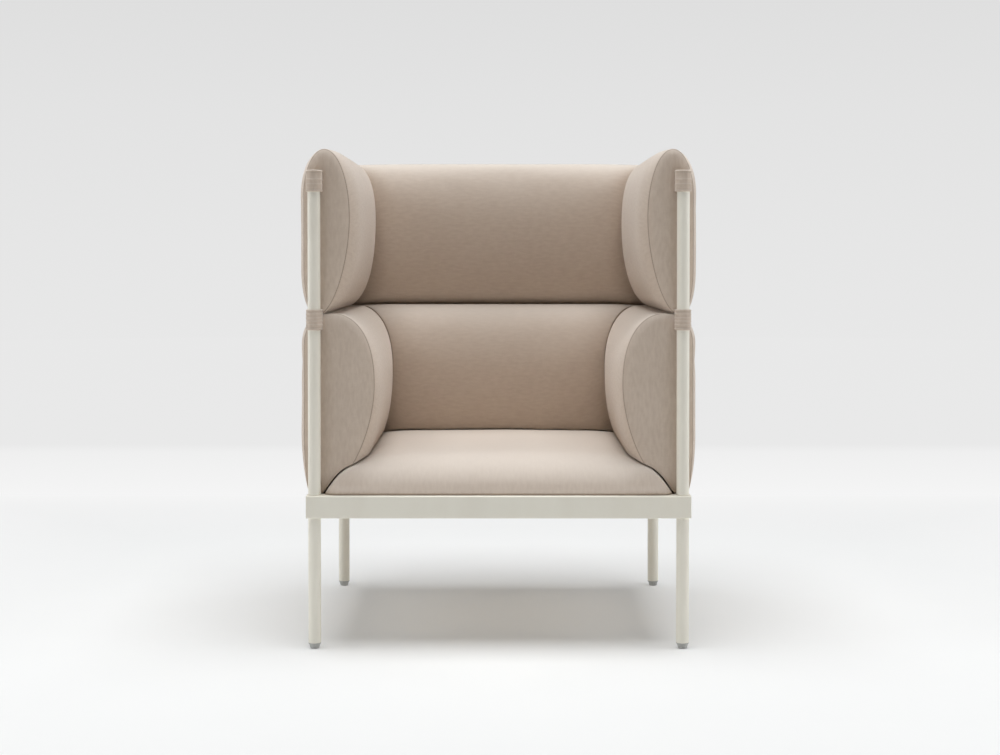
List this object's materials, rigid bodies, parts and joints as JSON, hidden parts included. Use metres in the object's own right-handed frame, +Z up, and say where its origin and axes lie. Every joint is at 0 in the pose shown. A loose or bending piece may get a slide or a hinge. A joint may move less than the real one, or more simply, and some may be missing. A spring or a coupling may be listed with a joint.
{
  "type": "acoustic high back lounge chair",
  "caption": "High back lounge armchair: rolled fabric cushions on a square steel tube frame, with side wings that screen the sitter from noise.",
  "frame": {"origin": "on the floor, under the centre of the chair's overall box", "axes": "+Z up, -Y to the front, +X to the right as seen from the front"},
  "size_m": [0.891, 0.7558, 1.1035],
  "materials": {
    "powder_coat": "cream powder coat, satin, fine texture",
    "zinc_steel": "bright zinc plate",
    "glide_plastic": "mid grey moulded nylon",
    "cap_plastic": "pale moulded plastic",
    "upholstery": "fine wool weave in warm beige",
    "plywood": "birch ply, unfinished"
  },
  "bodies": {
    "chair": {"front_rail": "powder_coat", "rear_rail": "powder_coat", "left_side_rail": "powder_coat", "right_side_rail": "powder_coat", "post_front_left": "powder_coat", "post_cap_front_left": "cap_plastic", "post_bush_front_left": "zinc_steel", "leg_stud_front_left": "zinc_steel", "leg_front_left": "powder_coat", "leg_insert_front_left": "glide_plastic", "sleeve_top_front_left": "upholstery", "sleeve_mid_front_left": "upholstery", "corner_bracket_front_left": "powder_coat", "post_front_right": "powder_coat", "post_cap_front_right": "cap_plastic", "post_bush_front_right": "zinc_steel", "leg_stud_front_right": "zinc_steel", "leg_front_right": "powder_coat", "leg_insert_front_right": "glide_plastic", "sleeve_top_front_right": "upholstery", "sleeve_mid_front_right": "upholstery", "corner_bracket_front_right": "powder_coat", "post_rear_left": "powder_coat", "post_cap_rear_left": "cap_plastic", "post_bush_rear_left": "zinc_steel", "leg_stud_rear_left": "zinc_steel", "leg_rear_left": "powder_coat", "leg_insert_rear_left": "glide_plastic", "sleeve_top_rear_left": "upholstery", "sleeve_mid_rear_left": "upholstery", "corner_bracket_rear_left": "powder_coat", "post_rear_right": "powder_coat", "post_cap_rear_right": "cap_plastic", "post_bush_rear_right": "zinc_steel", "leg_stud_rear_right": "zinc_steel", "leg_rear_right": "powder_coat", "leg_insert_rear_right": "glide_plastic", "sleeve_top_rear_right": "upholstery", "sleeve_mid_rear_right": "upholstery", "corner_bracket_rear_right": "powder_coat", "seat_board": "plywood", "seat_cushion": "upholstery", "left_arm_cushion": "upholstery", "left_arm_board": "plywood", "left_wing_cushion": "upholstery", "left_wing_board": "plywood", "right_arm_cushion": "upholstery", "right_arm_board": "plywood", "right_wing_cushion": "upholstery", "right_wing_board": "plywood", "lower_back_cushion": "upholstery", "lower_back_board": "plywood", "upper_back_cushion": "upholstery", "upper_back_board": "plywood"},
    "foot_front_left": {"glide_front_left": "glide_plastic"},
    "foot_front_right": {"glide_front_right": "glide_plastic"},
    "foot_rear_left": {"glide_rear_left": "glide_plastic"},
    "foot_rear_right": {"glide_rear_right": "glide_plastic"}
  },
  "joints": [
    {"name": "level_front_left", "type": "slide", "parent": "chair", "child": "foot_front_left", "axis": [0, 0, -1], "range_m": [0, 0.01]},
    {"name": "level_front_right", "type": "slide", "parent": "chair", "child": "foot_front_right", "axis": [0, 0, -1], "range_m": [0, 0.01]},
    {"name": "level_rear_left", "type": "slide", "parent": "chair", "child": "foot_rear_left", "axis": [0, 0, -1], "range_m": [0, 0.01]},
    {"name": "level_rear_right", "type": "slide", "parent": "chair", "child": "foot_rear_right", "axis": [0, 0, -1], "range_m": [0, 0.01]}
  ]
}
